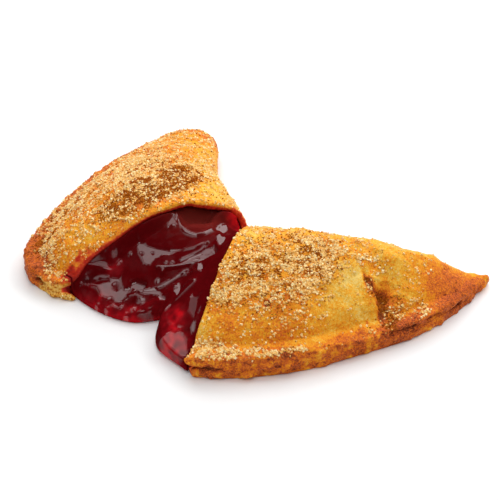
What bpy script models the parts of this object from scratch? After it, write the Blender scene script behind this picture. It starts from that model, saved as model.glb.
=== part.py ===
"""A sweet empanada, cut across its middle and opened like a V, with the red jam joining the halves.

Each half is a half-moon turnover: folded dough on one side, a sealed two-layer edge on the other.
A half is lofted from upright sections that run from the fold to the sealed edge, from the cut to
the tip. The jam fills both halves and fans out between the two cut faces.
Units are metres and degrees, with the table at z = 0.
"""

import math

import bmesh
import bpy
import numpy as np

# The cuts: the fold end of each one on the table, and the way that it runs to the sealed edge.
LEFT_FOLD = (0.0006, 0.0083)
LEFT_CUT_ANGLE = 200.8
RIGHT_FOLD = (0.0006, 0.0063)
RIGHT_CUT_ANGLE = 252.0

# The outline of each half on the table, as distances from the cut and from the fold end.
LEFT_SEALED_EDGE = (
    (0.0, 0.0638), (0.0035, 0.0668), (0.009, 0.0695), (0.0145, 0.0705), (0.0215, 0.0686),
    (0.029, 0.0645), (0.035, 0.0600), (0.0505, 0.0458), (0.0625, 0.0315), (0.0695, 0.0185),
    (0.0745, 0.0080), (0.0768, 0.0030),
)
LEFT_FOLD_EDGE = (
    (0.0, 0.0012), (0.012, 0.0008), (0.03, -0.0002), (0.044, -0.0038), (0.057, -0.0087),
    (0.0665, -0.0110), (0.0733, -0.0094), (0.0765, -0.0038), (0.0768, -0.0005),
)
RIGHT_SEALED_EDGE = (
    (0.0, 0.0602), (0.0082, 0.0590), (0.0148, 0.0565), (0.030, 0.0484), (0.0445, 0.0363),
    (0.0589, 0.0223), (0.0657, 0.0117), (0.0697, 0.0031), (0.0722, -0.0044), (0.0739, -0.0088),
)
RIGHT_FOLD_EDGE = (
    (0.0, 0.0032), (0.014, 0.0015), (0.032, -0.0005), (0.047, -0.0030), (0.060, -0.0074),
    (0.0685, -0.0090), (0.0738, -0.0104),
)

# The height of each half, against the share of the way from the cut to the tip.
LEFT_HEIGHT = (
    (0.0, 0.0257), (0.2, 0.0245), (0.45, 0.0205), (0.66, 0.0145), (0.82, 0.0098), (1.0, 0.005),
)
RIGHT_HEIGHT = (
    (0.0, 0.0232), (0.12, 0.0229), (0.25, 0.0233), (0.45, 0.0220), (0.6, 0.0192), (0.72, 0.0152),
    (0.84, 0.0084), (0.93, 0.0048), (1.0, 0.0036),
)

# The height of the sealed edge's upright face, against the same share.
LEFT_RIM_HEIGHT = ((0.0, 0.0058), (1.0, 0.0058))
RIGHT_RIM_HEIGHT = (
    (0.0, 0.0071), (0.3, 0.0071), (0.55, 0.0065), (0.76, 0.0060), (0.88, 0.0047), (1.0, 0.0033),
)

# How far the middle of the right cut gives way into its half, and how fast that fades to the tip.
RIGHT_CUT_BOW = 0.0013
BOW_FADE = 3

# How deep the seam between the two layers runs into the rim, against the same share.
LEFT_SEAM = ((0.0, 0.0007), (1.0, 0.0007))
RIGHT_SEAM = ((0.0, 0.0008), (0.60, 0.0006), (0.76, 0.0022), (0.86, 0.0020), (0.93, 0.0006), (1.0, 0.0005))

# A section's upper line: from the fold's foot to the peak, as shares of width and height, and
# from the peak down to the sealed ledge, as shares of the way to the ledge and of the drop.
FOOT_TO_PEAK = (
    (0.09, 0.0), (0.025, 0.13), (0.0, 0.36), (0.015, 0.57), (0.065, 0.75), (0.165, 0.895), (0.32, 1.0),
)
PEAK_TO_LEDGE = ((0.495, 0.06), (0.672, 0.255), (0.848, 0.525), (0.947, 0.755))

# The dough and its sealed edge. Sections narrower than FULL_LEDGE_FROM have a smaller ledge.
WALL = 0.0022
RIM_SHARE = 0.8
LEDGE_WIDTH = 0.0058
LEDGE_RISE = 0.0008
LEDGE_SHARE = 0.9
FULL_LEDGE_FROM = 0.029
SEAM_LEVEL = 0.52
SEAM_MOUTH = 0.0002
SEAM_OPENING = 0.45
SEAL_WIDTH = 0.005
CORNER = 0.0006
CUT_LIP = 0.0005

# The broad swells of the fried dough.
SWELL_HEIGHT = 0.0004
SWELL_LENGTH = 0.019
SWELL_SKEW = 0.35
SWELL_FROM = 0.0058
SWELL_CLIMB = 0.0058

# The crease of the right half, where the filled dome drops to the flat tip.
CREASE_FROM_CUT = 0.0425
CREASE_FROM_FOLD = 0.020
CREASE_SLOPE = 0.62
CREASE_DROP = 0.0055
CREASE_WIDTH = 0.0032
CREASE_FADE = 0.010
CREASE_FROM = 0.0058
CREASE_CLIMB = 0.010
CREASE_RECOVERY = 0.45

# How far the jam reaches into each half, as a share of its length, and its gap to the dough.
LEFT_FILLED = 0.70
RIGHT_FILLED = 0.50
GAP = 0.00035

# The jam's fan between the cuts. Shares run from 0 at the left cut to 1 at the right one.
FAN_INNER_RADIUS = 0.0046
FAN_REACH = (
    (0.0, 0.0604), (0.17, 0.0574), (0.29, 0.0552), (0.39, 0.0530), (0.48, 0.0504), (0.55, 0.0469),
    (0.60, 0.0445), (0.65, 0.0482), (0.71, 0.0535), (0.75, 0.0556), (0.83, 0.0577), (0.89, 0.0588),
    (0.95, 0.0601), (1.0, 0.0614),
)
FAN_HEIGHT = ((0.0, 0.0228), (0.12, 0.0205), (0.45, 0.0172), (0.75, 0.0172), (1.0, 0.0205))
FAN_LIP = (
    (0.0, 0.0032), (0.3, 0.0042), (0.5, 0.0062), (0.6, 0.0100), (0.68, 0.0078), (0.85, 0.0072),
    (1.0, 0.0068),
)
FAN_PEAK_TO_LIP = ((0.50, 0.09), (0.67, 0.35), (0.84, 0.66), (0.94, 0.85))
LIP_TUCK = 0.15

# The hollow between the jam and the dough's roof at the left cut.
HOLLOW_DEPTH = 0.0060
HOLLOW_MIDDLE = 0.0178
HOLLOW_HALF_WIDTH = 0.0112
HOLLOW_LENGTH = 0.014
HOLLOW_FLOOR = 0.008
HOLLOW_CLIMB = 0.006
HOLLOW_SHARE = 0.20

# How finely the surfaces are divided.
STATIONS = 40
STATION_CROWDING = 1.25
CAVITY_STEPS = 13
FAN_STEPS = 28
FOOT_POINTS = 13
SLOPE_POINTS = 14
RIM_POINTS = 8
BOTTOM_POINTS = 8

# Linear colours and roughness of the two materials.
FRIED_DOUGH = (0.62, 0.33, 0.10)
DOUGH_ROUGHNESS = 0.6
RED_JAM = (0.22, 0.006, 0.008)
JAM_ROUGHNESS = 0.12


def hermite(knots, values, places):
    """A cubic curve through the values, with each slope taken from the two neighbours."""
    slopes = np.gradient(values, knots, axis=0)
    places = np.clip(np.atleast_1d(places), knots[0], knots[-1])
    left = np.clip(np.searchsorted(knots, places, side="right") - 1, 0, len(knots) - 2)
    span = (knots[left + 1] - knots[left])[:, None]
    x = (places - knots[left])[:, None] / span
    return (
        values[left] * (1 + 2 * x) * (1 - x) ** 2
        + values[left + 1] * x**2 * (3 - 2 * x)
        + slopes[left] * span * x * (1 - x) ** 2
        - slopes[left + 1] * span * x**2 * (1 - x)
    )


def through(points, places):
    """Points of a smooth curve through a few points, at shares of its length from 0 to 1."""
    points = np.array(points, float)
    chords = np.linalg.norm(np.diff(points, axis=0), axis=1)
    knots = np.concatenate([[0.0], np.cumsum(chords)]) / chords.sum()
    return hermite(knots, points, places)


def graph(pairs, place):
    """The value at one place of a smooth graph through (place, value) pairs."""
    pairs = np.array(pairs, float)
    return hermite(pairs[:, 0], pairs[:, 1:], place)[0, 0]


def smoothstep(x):
    x = np.clip(x, 0.0, 1.0)
    return x * x * (3 - 2 * x)


def inward(ring, distance):
    """A closed ring of 2-D points moved inwards. The rings here run clockwise."""
    ahead = np.roll(ring, -1, axis=0) - np.roll(ring, 1, axis=0)
    ahead /= np.linalg.norm(ahead, axis=1, keepdims=True)
    return ring + np.stack([ahead[:, 1], -ahead[:, 0]], axis=1) * distance


def upper_line(width, height, end, descent):
    """A section's line from the fold's foot over the peak and down to its end point."""
    foot = through(np.array(FOOT_TO_PEAK) * (width, height), np.linspace(0, 1, FOOT_POINTS))
    peak_level = np.array([0.0, height])
    drop = peak_level + np.array(descent) * (end - peak_level)
    guide = np.concatenate([foot[-2:], drop, [end]])
    chords = np.linalg.norm(np.diff(guide, axis=0), axis=1)
    slope = through(guide, np.linspace(chords[0] / chords.sum(), 1, SLOPE_POINTS + 1))[1:]
    return np.concatenate([foot, slope])


def closed_below(top, edge):
    """A section's ring, from its upper line, its outer edge and the flat bottom between them."""
    bottom = np.linspace(edge[-1], (top[0, 0], 0.0), BOTTOM_POINTS + 2)[1:-1]
    return np.concatenate([top, edge, bottom])


def outer_section(width, height, rim_height, seam):
    """The dough's outer ring, from the fold's foot over the top to the rim and back underneath."""
    small = min(1.0, width / FULL_LEDGE_FROM)
    rim = min(rim_height, RIM_SHARE * height)
    corner = CORNER * small
    seam_level = SEAM_LEVEL * rim
    seam_half = SEAM_OPENING * seam * small + SEAM_MOUTH
    ledge = np.array([width - LEDGE_WIDTH * small, min(rim + LEDGE_RISE, LEDGE_SHARE * height)])
    rim_corner = np.array([width - corner, rim])
    edge = np.array([
        (ledge + rim_corner) / 2,
        rim_corner,
        (width, rim - corner),
        (width, seam_level + seam_half),
        (width - seam * small, seam_level),
        (width, seam_level - seam_half),
        (width, corner),
        (width - corner, 0.0),
    ])
    return closed_below(upper_line(width, height, ledge, PEAK_TO_LEDGE), edge)


def inner_section(outer, width, middle, gap):
    """The ring inside the dough, point for point below the outer one, kept clear of the dough by gap."""
    ring = inward(outer, WALL + gap)
    top_count = FOOT_POINTS + SLOPE_POINTS
    wedge = np.array([width - SEAL_WIDTH - gap, middle])
    turns = np.linspace(math.pi / 2, -math.pi / 2, RIM_POINTS)
    wedge_tip = wedge + (CORNER - gap / 2) * np.stack([np.cos(turns), np.sin(turns)], axis=1)
    ring[:, 0] = np.minimum(ring[:, 0], wedge[0])
    ring[:, 1] = np.maximum(ring[:, 1], WALL + gap)
    ring[top_count:-BOTTOM_POINTS] = wedge_tip
    ring[-BOTTOM_POINTS:] = np.linspace(wedge_tip[-1], ring[0], BOTTOM_POINTS + 2)[1:-1]
    return ring


def swells(ring):
    """Heights of the fried dough's broad swells, from 0 at the rim to their full height on top."""
    turns = 2 * math.pi / SWELL_LENGTH
    across = np.sin(turns * (ring[:, 0] + SWELL_SKEW * ring[:, 1])) * np.cos(0.8 * turns * ring[:, 1])
    along = 0.7 * np.sin(0.6 * turns * (ring[:, 1] - SWELL_SKEW * ring[:, 0]) + 1.3)
    return SWELL_HEIGHT * (across + along) * smoothstep((ring[:, 2] - SWELL_FROM) / SWELL_CLIMB)


def crease_drop(ring):
    """How far the right half's top lies below a plain dome, past the slanted crease."""
    crease = CREASE_FROM_CUT + CREASE_SLOPE * (ring[:, 1] - CREASE_FROM_FOLD)
    past = smoothstep((ring[:, 0] - crease) / CREASE_WIDTH)
    sideways = smoothstep((ring[:, 1] - CREASE_FROM_FOLD + CREASE_FADE) / CREASE_FADE)
    beyond = smoothstep((ring[:, 0] - crease - CREASE_WIDTH) / (3 * CREASE_WIDTH))
    above = smoothstep((ring[:, 2] - CREASE_FROM) / CREASE_CLIMB)
    return CREASE_DROP * past * sideways * above * (1 - CREASE_RECOVERY * beyond)


def creased_swells(ring):
    return swells(ring) - crease_drop(ring)


class Half:
    """One half of the turnover, with places measured from its cut and from its fold end."""

    def __init__(self, fold, cut_angle, turn, edges, height, rim_height, seam, relief, cut_bow=0.0):
        angle = math.radians(cut_angle)
        self.fold = np.array(fold)
        self.along_cut = np.array([math.cos(angle), math.sin(angle)])
        self.from_cut = turn * np.array([-math.sin(angle), math.cos(angle)])
        self.cut_bow = cut_bow
        self.fold_edge, self.sealed_edge = edges
        self.height = height
        self.rim_height = rim_height
        self.seam = seam
        self.relief = relief

    def ring(self, place, shape, shift=0.0):
        """A section's points in the world, at a share of the way from the cut to the tip."""
        back = through(self.fold_edge, place)[0]
        front = through(self.sealed_edge, place)[0]
        width = np.linalg.norm(front - back)
        across = (front - back) / width
        rim_height = graph(self.rim_height, place)
        outer = outer_section(width, graph(self.height, place), rim_height, graph(self.seam, place))
        outer[:, 1] += self.relief(np.column_stack([back + outer[:, :1] * across, outer[:, 1]]))
        section = shape(outer, width, rim_height)
        spots = back + section[:, :1] * across
        spots[:, 0] += self.bow(spots[:, 1], place)
        flat = self.fold + (spots[:, :1] + shift) * self.from_cut + spots[:, 1:] * self.along_cut
        return np.column_stack([flat, section[:, 1]])

    def bow(self, from_fold, place):
        """How far a section's points give way, from nothing at both ends of the cut."""
        share = np.clip(from_fold / self.sealed_edge[0][1], 0.0, 1.0)
        return self.cut_bow * np.sin(math.pi * share) * (1 - place) ** BOW_FADE

    def behind_cut(self, ring):
        return (ring[:, :2] - self.fold) @ self.from_cut

    def from_fold(self, ring):
        return (ring[:, :2] - self.fold) @ self.along_cut


def outer_rings(half):
    """The dough's outside, from the rounded lip at the cut to the tip."""
    places = 1 - (1 - np.linspace(0, 1, STATIONS)) ** STATION_CROWDING
    lip = half.ring(0.0, lambda outer, width, rim: inward(outer, CUT_LIP))
    behind_lip = half.ring(0.0, lambda outer, width, rim: outer, shift=1.5 * CUT_LIP)
    return [lip, behind_lip] + [half.ring(place, lambda outer, width, rim: outer) for place in places[1:]]


def cavity_rings(half, filled, gap):
    """The hollow's rings from the cut inwards. With a gap they are the jam's."""
    places = np.linspace(0.0, filled, CAVITY_STEPS)
    shifts = [0.0] * (CAVITY_STEPS - 1) + [-2 * gap]
    return [
        half.ring(place, lambda outer, width, rim: inner_section(outer, width, rim / 2, gap), shift)
        for place, shift in zip(places, shifts)
    ]


def crust(name, half, filled):
    """One half's dough: the outside, the face at the cut and the hollow inside it."""
    return loft(name, list(reversed(outer_rings(half))) + cavity_rings(half, filled, 0.0))


def fan_ring(pivot, share):
    """A section of the jam between the cuts, standing on a line from the pivot."""
    angle = math.radians(LEFT_CUT_ANGLE + share * (RIGHT_CUT_ANGLE - LEFT_CUT_ANGLE))
    width = graph(FAN_REACH, share) - FAN_INNER_RADIUS
    lip = graph(FAN_LIP, share)
    lip_start = np.array([width - lip, lip])
    top = upper_line(width, graph(FAN_HEIGHT, share), lip_start, FAN_PEAK_TO_LIP)
    turns = np.linspace(math.pi / 2, 0, RIM_POINTS)[1:]
    rise = LIP_TUCK + (1 - LIP_TUCK) * np.sin(turns)
    front = [width - lip, 0.0] + lip * np.stack([np.cos(turns), rise], axis=1)
    section = closed_below(top, np.concatenate([front, [(width - LIP_TUCK * lip, 0.0)]]))
    outward = np.array([[math.cos(angle), math.sin(angle)]])
    flat = pivot + (FAN_INNER_RADIUS + section[:, :1]) * outward
    return np.column_stack([flat, section[:, 1]])


def clear_of_cut(half, ring):
    """The ring moved off the half's cut face by the gap, where it would touch it."""
    ring[:, :2] -= np.maximum(half.behind_cut(ring) + GAP, 0.0)[:, None] * half.from_cut
    return ring


def hollowed(left, ring, nearness):
    """The ring lowered under the dough's roof at the left cut, most where nearness is 1."""
    beside = smoothstep(1 - np.abs(left.from_fold(ring) - HOLLOW_MIDDLE) / HOLLOW_HALF_WIDTH)
    upper = smoothstep((ring[:, 2] - HOLLOW_FLOOR) / HOLLOW_CLIMB)
    ring[:, 2] -= HOLLOW_DEPTH * beside * upper * nearness
    return ring


def jam(name, left, right):
    """The jam as one body: into the left half, across the fan and into the right half."""
    sides = np.column_stack([left.along_cut, -right.along_cut])
    pivot = left.fold + left.along_cut * np.linalg.solve(sides, right.fold - left.fold)[0]
    rings = []
    for ring in reversed(cavity_rings(left, LEFT_FILLED, GAP)):
        nearness = smoothstep(1 - left.behind_cut(ring).max() / HOLLOW_LENGTH)
        rings.append(hollowed(left, ring, nearness))
    for share in np.linspace(0.0, 1.0, FAN_STEPS):
        ring = hollowed(left, fan_ring(pivot, share), smoothstep(1 - share / HOLLOW_SHARE))
        rings.append(clear_of_cut(right, clear_of_cut(left, ring)))
    rings += cavity_rings(right, RIGHT_FILLED, GAP)
    return loft(name, rings)


def loft(name, rings):
    """A closed mesh object through rings of equally many points."""
    mesh = bmesh.new()
    loops = [[mesh.verts.new(point) for point in ring] for ring in rings]
    count = len(rings[0])
    for here, there in zip(loops, loops[1:]):
        for i in range(count):
            after = (i + 1) % count
            mesh.faces.new((here[i], here[after], there[after], there[i]))
    for end in (loops[0], loops[-1]):
        mesh.faces.new(end)
    bmesh.ops.recalc_face_normals(mesh, faces=mesh.faces)
    data = bpy.data.meshes.new(name)
    mesh.to_mesh(data)
    mesh.free()
    node = bpy.data.objects.new(name, data)
    bpy.context.scene.collection.objects.link(node)
    return node


def paint(node, color, roughness):
    material = bpy.data.materials.new(node.name)
    material.use_nodes = True
    surface = material.node_tree.nodes["Principled BSDF"]
    surface.inputs["Base Color"].default_value = (*color, 1.0)
    surface.inputs["Roughness"].default_value = roughness
    surface.inputs["Metallic"].default_value = 0.0
    node.data.materials.append(material)
    for face in node.data.polygons:
        face.use_smooth = True


def set_on_origin(nodes):
    """Moves the pieces so that the middle of the whole's base is at the origin."""
    points = np.array([vertex.co for node in nodes for vertex in node.data.vertices])
    middle = (points.min(axis=0) + points.max(axis=0)) / 2
    for node in nodes:
        for vertex in node.data.vertices:
            vertex.co.x -= middle[0]
            vertex.co.y -= middle[1]


def build():
    for thing in list(bpy.data.objects):
        bpy.data.objects.remove(thing)
    left_edges = (LEFT_FOLD_EDGE, LEFT_SEALED_EDGE)
    right_edges = (RIGHT_FOLD_EDGE, RIGHT_SEALED_EDGE)
    left_levels = (LEFT_HEIGHT, LEFT_RIM_HEIGHT, LEFT_SEAM)
    right_levels = (RIGHT_HEIGHT, RIGHT_RIM_HEIGHT, RIGHT_SEAM)
    left = Half(LEFT_FOLD, LEFT_CUT_ANGLE, -1, left_edges, *left_levels, swells)
    right = Half(
        RIGHT_FOLD, RIGHT_CUT_ANGLE, 1, right_edges, *right_levels, creased_swells, RIGHT_CUT_BOW,
    )
    left_crust = crust("crust_left", left, LEFT_FILLED)
    right_crust = crust("crust_right", right, RIGHT_FILLED)
    filling = jam("filling", left, right)
    paint(left_crust, FRIED_DOUGH, DOUGH_ROUGHNESS)
    paint(right_crust, FRIED_DOUGH, DOUGH_ROUGHNESS)
    paint(filling, RED_JAM, JAM_ROUGHNESS)
    set_on_origin([left_crust, right_crust, filling])


build()
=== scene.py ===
"""The looks of a sweet empanada that was cut across its middle and opened like a V.

Two halves of fried dough, dusted with cinnamon sugar, lie on a white table. Dark red jam joins
them and has run out in front. The shapes are worked in millimetres and stored in metres.
"""

import math
from types import SimpleNamespace

import bmesh
import bpy
import numpy as np
from mathutils import Matrix, Vector, noise
from mathutils.bvhtree import BVHTree


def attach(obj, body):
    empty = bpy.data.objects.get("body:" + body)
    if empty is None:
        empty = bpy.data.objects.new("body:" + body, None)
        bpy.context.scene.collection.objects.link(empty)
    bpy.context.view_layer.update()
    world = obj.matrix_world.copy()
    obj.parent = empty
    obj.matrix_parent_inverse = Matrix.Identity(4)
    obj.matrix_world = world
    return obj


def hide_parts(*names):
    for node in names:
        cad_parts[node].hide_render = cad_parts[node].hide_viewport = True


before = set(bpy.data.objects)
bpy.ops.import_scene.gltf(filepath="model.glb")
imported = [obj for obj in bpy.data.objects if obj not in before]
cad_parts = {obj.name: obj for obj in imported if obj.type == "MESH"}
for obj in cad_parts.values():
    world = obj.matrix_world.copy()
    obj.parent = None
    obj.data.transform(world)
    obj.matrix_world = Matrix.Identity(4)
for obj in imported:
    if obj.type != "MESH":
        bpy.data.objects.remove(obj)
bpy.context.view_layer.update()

# The two halves of the turnover. Wheat dough was folded over the jam, pressed together along its
# round edge and fried, so it is golden with browner edges, small blisters and a bubbled rim.
# A cut across the middle laid the jam open, and the jam soaked into the dough along the cut.
MM = 0.001
# The size of the mesh's cells in millimetres, and how often its corners are softened.
DOUGH_GRAIN = 0.40
DOUGH_SMOOTHING = 3

# A half is measured from its cut and from the fold's end of that cut. sealed_edge is its outline
# in those distances, and the two heights run against the distance from the cut. Frying filled
# part of the seam and browned a band along the rim. shade, soak, dusted and spiced hold for the
# whole half, and notch is 1 where the rim's corner at the cut is pushed in. A patch is x, y,
# radius and strength, full inside half the radius. A lump is x, y, z and its three radii.
LEFT_HALF = SimpleNamespace(
    fold_end=np.array([-0.80, -6.14]),
    cut_turn=math.radians(200.8),
    side=-1,
    sealed_edge=(
        (0.0, 63.8), (3.5, 66.8), (9.0, 69.5), (14.5, 70.5), (21.5, 68.6), (29.0, 64.5),
        (35.0, 60.0), (50.5, 45.8), (62.5, 31.5), (69.5, 18.5), (74.5, 8.0), (76.8, 3.0),
    ),
    rim_height=((0.0, 5.8), (77.0, 5.8)),
    seam_height=((0.0, 3.0), (77.0, 3.0)),
    seam_filled=0.45,
    brown_band=6.6,
    shade=0.40,
    soak=1.0,
    dusted=0.22,
    spiced=0.05,
    notch=0.0,
    crease=(),
    # The pale crumb of the lower layer, which the cut tore at its left end.
    torn_line=((-64.5, -25.6), (-62.3, -27.6), (-57.7, -29.6), (-54.7, -30.8)),
    lumps=(
        (-65.1, -23.8, 1.5, 2.6, 2.0, 1.4), (-62.3, -26.0, 1.1, 2.6, 1.8, 1.1),
        (-59.9, -27.8, 1.0, 2.4, 1.6, 1.0), (-57.6, -29.1, 1.0, 2.2, 1.4, 1.0),
        (-61.1, -26.4, 2.6, 1.6, 1.2, 0.8), (-63.7, -24.6, 3.0, 1.5, 1.2, 0.9),
        (-58.1, -27.9, 2.0, 1.5, 0.9, 0.7), (-55.9, -29.9, 0.8, 1.2, 0.9, 0.8),
        (-67.3, -22.8, 2.6, 1.4, 1.1, 0.9),
    ),
    # Where the rim bulges or sinks, and where its two layers gape.
    bead=(
        (-70.2, -17.2, 4.6, 0.20), (-70.2, -9.6, 4.4, 0.35), (-66.2, -23.6, 2.4, -0.75),
        (-60.2, -29.4, 3.4, 0.45),
    ),
    slits=((-66.5, -23.4, 2.0, 0.6),),
    browned_and_shade=(
        (-15.1, 51.9, 3.0, 0.25), (-70.0, -17.2, 5.0, 0.18), (-70.5, -7.0, 4.0, 0.18),
        (-22.7, 59.8, 7.0, 0.08), (-34.0, -6.0, 9.0, 0.11), (-27.5, 2.0, 7.0, 0.14),
        (-66.5, -20.5, 4.0, 0.22), (-42.0, -12.0, 7.0, 0.06), (-62.0, -18.0, 6.0, 0.08),
    ),
    pale=(
        (-8.7, 1.8, 9.0, 0.20), (-12.7, 19.8, 10.0, 0.20), (-18.7, -8.0, 7.0, 0.12),
        (-48.0, -14.2, 9.0, 0.06), (-57.0, -19.0, 7.0, 0.06), (-8.0, -5.0, 5.0, 0.12),
        (-20.0, 35.0, 9.0, 0.10), (-61.5, -26.0, 4.0, 0.12),
    ),
    sugared=(
        (-65.0, -4.2, 5.0, 0.22), (-62.7, 7.8, 6.0, 0.22), (-63.0, -14.2, 5.0, 0.34),
        (-70.6, -17.5, 4.0, -0.80), (-71.0, -8.0, 3.4, -0.60), (-67.6, -21.5, 2.8, -0.60),
        (-58.7, 3.8, 7.0, 0.18), (-46.0, 17.8, 14.0, 0.26), (-38.7, 3.8, 12.0, 0.28),
        (-27.0, 12.0, 12.0, 0.26), (-31.0, -8.2, 8.0, 0.10), (-61.7, -22.2, 4.0, 0.30),
        (-21.0, -2.0, 6.0, 0.12), (-52.0, -8.0, 8.0, 0.12),
    ),
    # The drift of sugar along the rim's ledge.
    bank=(
        (-65.0, -8.0, 2.6, 0.40), (-64.2, -15.0, 2.6, 0.45), (-60.0, 6.0, 4.0, 0.25),
        (-62.6, -21.0, 2.4, 0.40), (-50.0, 20.0, 5.0, 0.2), (-38.0, 33.0, 5.0, 0.2),
    ),
    cinnamon=(
        (-42.7, -10.2, 6.0, 0.65), (-36.7, -8.2, 7.0, 1.00), (-30.7, -3.2, 7.5, 1.10),
        (-25.7, 2.8, 7.0, 1.10), (-21.7, 8.8, 5.0, 0.60), (-66.7, -10.2, 5.0, 0.45),
        (-33.7, 7.8, 9.0, 0.25), (-63.7, 3.8, 6.0, 0.25),
    ),
    smears=((-57.8, -27.9, 1.4, 0.7), (-55.8, -27.4, 1.6, 0.9), (-54.4, -28.0, 1.4, 0.9)),
)
RIGHT_HALF = SimpleNamespace(
    fold_end=np.array([-0.80, -8.14]),
    cut_turn=math.radians(252.0),
    side=1,
    sealed_edge=(
        (0.0, 60.2), (8.2, 59.0), (14.8, 56.5), (30.0, 48.4), (44.5, 36.3), (58.9, 22.3),
        (65.7, 11.7), (69.7, 3.1), (72.2, -4.4), (73.9, -8.8),
    ),
    rim_height=((0.0, 7.1), (29.0, 7.1), (49.4, 6.5), (63.8, 6.0), (69.6, 4.7), (73.9, 3.0)),
    seam_height=((0.0, 3.7), (45.0, 3.7), (55.0, 4.7), (63.0, 4.4), (66.6, 2.8), (73.0, 1.7)),
    seam_filled=1.0,
    brown_band=4.6,
    shade=0.30,
    soak=0.4,
    dusted=0.05,
    spiced=0.02,
    notch=1.0,
    # The fold where the filled dome drops to the flat tip, as a line in plan.
    crease=(
        (31.4, -37.0), (31.9, -39.8), (33.0, -41.8), (35.0, -42.3), (36.9, -42.2), (37.4, -43.8),
        (37.2, -45.8), (36.8, -47.8), (36.8, -50.0), (37.2, -52.4), (37.6, -55.0),
    ),
    torn_line=(),
    lumps=(
        (-7.3, -66.4, 3.4, 1.9, 0.8, 1.3), (-14.2, -66.0, 4.8, 1.9, 0.9, 1.0),
        (2.4, -66.0, 4.3, 2.6, 0.8, 1.1), (9.3, -64.7, 4.1, 1.8, 0.7, 0.9),
        (-2.0, -66.6, 2.0, 1.6, 0.7, 0.9), (-18.2, -64.6, 5.6, 1.7, 1.4, 1.0),
    ),
    bead=(),
    slits=(
        (52.1, -44.8, 1.5, 0.9), (54.1, -43.1, 1.7, 1.0), (56.1, -41.4, 1.4, 0.9),
        (58.9, -37.6, 1.5, 0.8), (61.3, -35.4, 1.5, 0.8), (41.5, -51.4, 2.5, 0.45),
        (46.0, -49.2, 2.5, 0.45), (-17.0, -66.0, 3.0, 0.70), (-11.5, -66.8, 3.0, 0.40),
        (3.0, -66.5, 4.0, 0.25),
    ),
    # The small strong patches that lie on the crease line are painted shade in its deepest pockets.
    browned_and_shade=(
        (4.2, -56.2, 8.0, 0.06), (9.9, -55.4, 7.0, 0.05), (14.2, -55.0, 6.0, 0.05),
        (-4.2, -57.0, 6.0, 0.09), (-8.4, -60.0, 5.0, 0.12), (57.0, -33.5, 7.0, 0.21),
        (63.0, -32.0, 7.0, 0.22), (68.0, -28.5, 5.0, 0.06), (53.0, -38.5, 5.0, 0.12),
        (33.4, -41.9, 1.8, 0.52), (37.3, -41.9, 1.6, 0.52), (38.5, -40.0, 2.2, 0.22),
        (37.2, -45.2, 1.8, 0.44), (36.9, -47.6, 1.4, 0.24), (36.6, -47.8, 0.5, 0.40),
        (32.4, -50.3, 0.45, 0.50), (39.8, -44.8, 4.2, 0.24), (44.4, -46.4, 3.0, 0.10),
        (43.2, -50.6, 3.2, 0.24), (39.6, -51.6, 3.6, 0.30), (46.4, -48.6, 3.0, 0.18),
        (49.0, -45.6, 3.2, 0.12), (26.5, -56.0, 5.0, 0.08), (-9.2, -44.2, 2.0, 0.20),
        (-11.7, -52.7, 2.0, 0.20), (7.0, -35.0, 3.0, 0.08), (14.0, -41.0, 3.0, 0.10),
    ),
    pale=(
        (26.0, -45.9, 7.0, 0.09), (28.5, -40.5, 4.5, 0.15), (24.4, -50.5, 5.0, 0.06),
        (7.3, -30.2, 9.0, 0.10), (-0.7, -29.2, 5.0, 0.10),
    ),
    sugared=(
        (-2.7, -34.2, 6.0, 0.32), (5.3, -37.2, 9.0, 0.34), (14.3, -36.6, 8.0, 0.48),
        (-6.0, -45.0, 7.0, 0.14), (2.0, -49.0, 10.0, 0.22), (12.0, -50.0, 9.0, 0.15),
        (3.0, -25.0, 8.0, 0.14), (17.0, -29.0, 8.0, 0.14), (21.3, -36.2, 6.0, 0.55),
        (17.3, -42.2, 6.0, 0.45), (-3.7, -45.2, 6.0, 0.45), (-8.7, -50.2, 4.0, 0.40),
        (33.3, -33.2, 5.0, 0.30), (33.4, -44.0, 1.2, 0.70), (35.7, -42.7, 0.8, 0.55),
        (41.4, -44.1, 4.0, 0.20), (38.6, -50.6, 2.0, 0.05), (43.4, -51.0, 3.0, -0.20),
        (33.7, -54.0, 1.4, 0.30), (48.8, -42.8, 2.4, 0.45), (38.4, -40.0, 2.2, -0.40),
        (37.2, -45.0, 1.2, -0.40), (12.3, -47.2, 4.0, 0.25), (44.3, -36.2, 5.0, 0.08),
        (49.5, -32.0, 3.0, 0.16), (52.5, -36.5, 3.0, -0.10), (62.0, -31.0, 8.0, -0.05),
    ),
    bank=(
        (-16.8, -62.7, 3.2, 0.75), (-13.4, -62.7, 3.2, 0.75), (-9.8, -63.6, 3.2, 0.75),
        (-6.4, -64.4, 2.6, 0.75), (-2.5, -63.6, 1.5, 0.7), (0.8, -63.1, 1.8, 0.8),
        (3.6, -65.7, 2.8, 1.0), (6.1, -66.2, 2.6, 1.0), (9.8, -63.6, 1.9, 1.0),
        (12.6, -63.1, 1.9, 1.0), (15.4, -63.6, 2.0, 1.0), (17.5, -64.9, 2.2, 1.0),
        (20.4, -63.6, 2.0, 0.9), (24.5, -61.4, 1.4, 0.4), (39.3, -54.1, 2.0, 0.12),
        (50.0, -43.6, 2.0, 0.35),
    ),
    cinnamon=(
        (9.3, -36.2, 12.0, 0.30), (19.3, -39.2, 5.0, 0.36), (3.3, -45.2, 8.0, 0.22),
        (33.4, -41.8, 1.6, 1.00), (37.3, -42.2, 1.5, 0.80), (37.2, -45.6, 1.6, 0.70),
        (38.6, -48.6, 2.8, 0.50), (40.6, -44.6, 3.4, 0.35), (39.5, -52.5, 2.6, 0.40),
        (-4.0, -42.0, 6.0, 0.22), (-10.0, -50.0, 5.0, 0.18),
    ),
    smears=(),
)
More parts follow.
